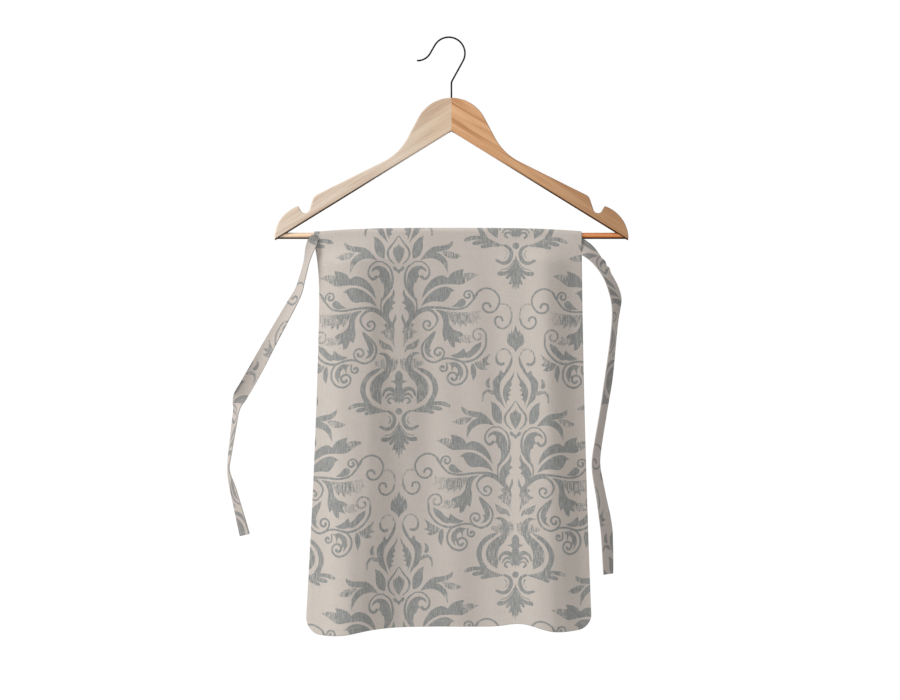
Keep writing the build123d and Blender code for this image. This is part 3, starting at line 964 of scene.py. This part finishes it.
def turned_place(a, s):
    """The flat points with the hem turned under, in metres."""
    on_cloth, depth = turn_hem(apron_outline, FOLD, np.stack([a, s], 1))
    return apron_place(*on_cloth.T) - normal * depth[:, None] * MM


turned = normals_of(turned_place, *flat.T)
apron = sheet_mesh("apron_cloth", flat, triangles, ink, turned_place(*flat.T), turned, THICKNESS * MM)
apron.data.materials.append(cloth)
print("front faces the camera:", turned[np.abs(flat[:, 1] - 250) < 5][:, 1].mean() < 0)

# %% [markdown]
# ## The ties
# Each tie is a strip of the same cloth, folded double and stitched near both edges, sewn to the apron's
# side at the bar. It falls, leans and twists, so it turns its face and its edge by turns. A strip that
# follows a line needs a heading and a width direction at every point: both are set at a few places and run
# smoothly between them, and the cut cloth is then laid along them as it was over the bar.

# %% Ribbon
TIE_HALF = 8.3
TIE_THICKNESS = 1.1
ROOT_LENGTH = 14  # the root's own width fades out over this
CUP = 1.5
RIPPLE_LENGTH = 3.4


class Ribbon:
    """A strip of cloth along a line.

    Each stop is x, z, y, and the angle between the strip's width and the front view's plane. The root is
    root_width times as wide as the rest. A ripple is a place down the strip where its outer edge has
    stretched, and how far.
    """

    def __init__(self, stops, root_width, ripples=()):
        line = smooth_line(stops, 4.0)
        self.middle = line[:, [0, 2, 1]]
        twist = np.radians(line[:, 3])
        steps = np.linalg.norm(np.diff(self.middle, axis=0), axis=1)
        self.run = np.concatenate([[0], np.cumsum(steps)])
        self.length = self.run[-1]
        heading = np.gradient(self.middle, axis=0)
        heading /= np.linalg.norm(heading, axis=1)[:, None]
        depth_way = np.array([0, 1, 0]) - heading * heading[:, [1]]
        depth_way /= np.linalg.norm(depth_way, axis=1)[:, None]
        flat_way = np.cross(heading, depth_way)
        self.width_way = flat_way * np.cos(twist)[:, None] + depth_way * np.sin(twist)[:, None]
        self.face_way = np.cross(self.width_way, heading)
        self.root_width = root_width
        self.ripples = ripples

    def at(self, table, s):
        """The table's rows at distances s down the strip."""
        return np.stack([np.interp(s, self.run, column) for column in table.T], 1)

    def place(self, a, s):
        """Points of the strip in metres, from places across and down it. It is a little cupped."""
        spread = 1 + (self.root_width - 1) * np.exp(-np.clip(s, 0, None) / ROOT_LENGTH)
        cup = CUP * (1 - (a / 10) ** 2) * np.clip(s / 30, 0, 1)
        reach = a * spread
        for middle, size in self.ripples:
            wave = size * np.exp(-((s - middle) / RIPPLE_LENGTH) ** 2)
            reach = reach + wave * np.clip(a / TIE_HALF, 0, 1) ** 2
        return (self.at(self.middle, s) + self.at(self.width_way, s) * reach[:, None]
                + self.at(self.face_way, s) * cup[:, None]) * MM


# %% The ties' lines
LEFT_STOPS = [
    (-170.6, -249.6, -7, 0), (-174.2, -256, -7.4, -10), (-177.8, -266, -8.4, -38), (-181.2, -279, -9, -59),
    (-185, -294, -9.6, -61), (-188.6, -307, -9.8, -58), (-192, -318.5, -10, -52), (-199, -332, -10, -43),
    (-214, -359, -10, -34), (-230, -388, -10.4, -24), (-245, -416, -11, -8), (-256.4, -436.4, -12, 0),
    (-263.6, -448.6, -13, 0), (-268, -458.4, -13.4, -39), (-269.8, -468, -13, -60),
    (-272.4, -484, -12.2, -64), (-275.8, -507, -10.6, -69), (-279, -528, -9, -74),
    (-280.4, -539, -8.2, -79), (-279.4, -549, -8, -73), (-275.6, -563, -8, -60), (-269, -588, -8.6, -51),
    (-264, -607, -9.2, -44), (-259.4, -625, -10, -38),
]
RIGHT_STOPS = [
    (157, -259.4, -3, 0), (163, -262, -3.6, 2), (169.6, -266.5, -5.8, 10), (176.6, -272.8, -8, 26),
    (184.6, -282.8, -11, 43), (192.6, -294.6, -12.6, 48), (199, -306, -12.6, 44),
    (203.8, -317.6, -11.6, 36), (206.8, -329, -10.6, 36), (206.8, -341, -10, 50), (205.4, -358, -9.6, 60),
    (202.4, -388, -9, 60), (197.6, -428, -9, 53), (191, -470, -9.4, 56), (184.6, -508, -10, 54),
    (182, -526, -10.4, 52), (181.6, -538, -10.6, 50), (183.2, -551, -10.8, 47), (188.4, -579, -10.8, 42),
    (192.2, -601, -10.4, 32), (194.6, -617, -10, 28), (195.6, -632, -9.8, 32), (196.4, -652, -9.6, 36),
    (197, -674, -9.5, 42),
]


# %% The two ties
def make_tie(name, stops, root_width, print_start, ripples=()):
    """One tie: its cloth and its ribbon."""
    ribbon = Ribbon(stops, root_width, ripples)
    outline = Outline(-TIE_HALF, TIE_HALF, 0.5, ribbon.length - 0.5, corner=1.2)
    marks = print_over((-TIE_HALF - 2, -2), (2 * TIE_HALF + 4, ribbon.length + 4), print_start)
    points, faces, tone = cut(outline, allowance=0.4, fold=0.1, grid=3.2, shapes=marks)
    a, s = points.T
    way = normals_of(ribbon.place, a, s)
    obj = sheet_mesh(name, points, faces, tone, ribbon.place(a, s), way, TIE_THICKNESS * MM, wrong_side=0.9)
    obj.data.materials.append(shaded_tie_cloth)
    print(name, "length", round(ribbon.length), "mm")
    return obj, ribbon


left_tie, left_ribbon = make_tie("tie_left_cloth", LEFT_STOPS, root_width=0.55, print_start=(-36, -192))
right_tie, right_ribbon = make_tie("tie_right_cloth", RIGHT_STOPS, root_width=1.15, print_start=(33.2, 20),
                                   ripples=((40, 3.6), (51, 3.0)))

# %% [markdown]
# ## Stitches
# The hems and the ties are held by lines of machine stitches, a little lighter than the cloth. They repeat
# along a line, so Geometry Nodes set them: the seam's line is cut to even steps, each step gets one small
# arched thread, turned along the seam and away from the cloth, and the whole is made one mesh.

# %% Stitch tree
def stitch_tree():
    """Geometry nodes that turn a seam's line into a row of stitches."""
    group = bpy.data.node_groups.new("stitches", "GeometryNodeTree")
    group.interface.new_socket("Seam", in_out="INPUT", socket_type="NodeSocketGeometry")
    for name in ("Pitch", "Stitch length", "Thread radius", "Rise"):
        group.interface.new_socket(name, in_out="INPUT", socket_type="NodeSocketFloat")
    group.interface.new_socket("Thread", in_out="INPUT", socket_type="NodeSocketMaterial")
    group.interface.new_socket("Stitches", in_out="OUTPUT", socket_type="NodeSocketGeometry")
    given = add(group, "NodeGroupInput").outputs
    line = add(group, "GeometryNodeMeshToCurve", in_Mesh=given["Seam"])
    steps = add(group, "GeometryNodeResampleCurve", mode="LENGTH", in_Curve=line.outputs[0],
                in_Length=given["Pitch"])
    half = sums(group, "MULTIPLY", given["Stitch length"], 0.5)
    arch = add(group, "GeometryNodeCurveQuadraticBezier", in_Resolution=4)
    for end, where in (("Start", {"in_X": sums(group, "MULTIPLY", half, -1.0)}),
                       ("Middle", {"in_Z": given["Rise"]}), ("End", {"in_X": half})):
        give(group, arch, **{end: add(group, "ShaderNodeCombineXYZ", **where).outputs[0]})
    ring = add(group, "GeometryNodeCurvePrimitiveCircle", in_Resolution=5, in_Radius=given["Thread radius"])
    tube = add(group, "GeometryNodeCurveToMesh", in_Curve=arch.outputs[0], in_Profile_Curve=ring.outputs[0],
               in_Fill_Caps=True)
    tangent = add(group, "GeometryNodeInputTangent").outputs[0]
    along = add(group, "FunctionNodeAlignRotationToVector", axis="X", in_Vector=tangent)
    off_cloth = add(group, "GeometryNodeInputNamedAttribute", data_type="FLOAT_VECTOR", in_Name="off_cloth")
    up = add(group, "FunctionNodeAlignRotationToVector", axis="Z", pivot_axis="X",
             in_Rotation=along.outputs[0], in_Vector=off_cloth.outputs[0])
    put = add(group, "GeometryNodeInstanceOnPoints", in_Points=steps.outputs[0], in_Instance=tube.outputs[0],
              in_Rotation=up.outputs[0])
    real = add(group, "GeometryNodeRealizeInstances", in_Geometry=put.outputs[0])
    paint = add(group, "GeometryNodeSetMaterial", in_Geometry=real.outputs[0], in_Material=given["Thread"])
    add(group, "NodeGroupOutput", in_Stitches=paint.outputs[0])
    return group


STITCHES = stitch_tree()


# %% Lines of stitches
def stitch(name, lines, pitch=3.0 * MM, length=2.3 * MM, radius=0.16 * MM, rise=0.2 * MM):
    """One mesh of stitches along lines, each a pair of (places, directions off the cloth)."""
    seam = bpy.data.meshes.new(name)
    places = np.vstack([place for place, _ in lines])
    edges, start = [], 0
    for place, _ in lines:
        edges += [(i, i + 1) for i in range(start, start + len(place) - 1)]
        start += len(place)
    seam.from_pydata(places.tolist(), edges, [])
    off = seam.attributes.new("off_cloth", "FLOAT_VECTOR", "POINT")
    off.data.foreach_set("vector", np.vstack([way for _, way in lines]).astype(np.float32).ravel())
    holder = put_in_scene(name + "_seam", seam)
    modifier = holder.modifiers.new("stitches", "NODES")
    modifier.node_group = STITCHES
    sizes = {"Pitch": pitch, "Stitch length": length, "Thread radius": radius, "Rise": rise, "Thread": thread}
    for item in STITCHES.interface.items_tree:
        if item.in_out == "INPUT" and item.name in sizes:
            modifier[item.identifier] = sizes[item.name]
    graph = bpy.context.evaluated_depsgraph_get()
    mesh = bpy.data.meshes.new_from_object(holder.evaluated_get(graph))
    bpy.data.objects.remove(holder)
    print(name, "faces", len(mesh.polygons))
    return put_in_scene(name, mesh)


# %% Hem and tie stitches
def both_faces(place_at, a, s, upper, under):
    """A seam on both faces of a sheet, upper and under its middle by those millimetres."""
    place, way = place_at(a, s), normals_of(place_at, a, s)
    return [(place + way * upper * MM, way), (place - way * under * MM, -way)]


SUNK = 0.05  # a stitch's ends lie this far in the cloth
HEM_SEAM_IN = 6.6  # from the hem's edge
TIE_SEAM_IN = 2.2
seam_flat = apron_outline.loop(-HEM_SEAM_IN, step=3.0)
seam_flat = np.vstack([seam_flat, seam_flat[:1]])
UPPER = THICKNESS / 2 - SUNK
UNDER = THICKNESS / 2 + 2 * FOLD - SUNK
hem_stitches = stitch("hem_stitches", both_faces(apron_place, *seam_flat.T, UPPER, UNDER))


def tie_seams(ribbon):
    """Both edge seams of a tie, the two cross seams that hold its root, and the one at its end."""
    inset = TIE_HALF - TIE_SEAM_IN
    lift = TIE_THICKNESS / 2 - SUNK
    s = np.arange(4, ribbon.length - 3, 2.5)
    seams = [(np.full(len(s), a), s) for a in (-inset, inset)]
    seams += [(np.linspace(-inset, inset, 8), np.full(8, down)) for down in (2.5, 8.0, ribbon.length - 3.2)]
    return [line for a, s in seams for line in both_faces(ribbon.place, a, s, lift, lift)]


left_stitches = stitch("tie_left_stitches", tie_seams(left_ribbon))
right_stitches = stitch("tie_right_stitches", tie_seams(right_ribbon))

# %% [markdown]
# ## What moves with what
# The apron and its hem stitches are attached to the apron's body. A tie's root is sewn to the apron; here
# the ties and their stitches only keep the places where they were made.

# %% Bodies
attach(apron, "apron")
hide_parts("apron_panel")
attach(hem_stitches, "apron")
for body, tie, stitches, ribbon in (("tie_left", left_tie, left_stitches, left_ribbon),
                                    ("tie_right", right_tie, right_stitches, right_ribbon)):
    for piece in (tie, stitches):
        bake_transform(piece)
    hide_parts("left_tie" if body == "tie_left" else "right_tie")

print("cad box", [[round(v, 4) for v in corner] for corner in cad_box])
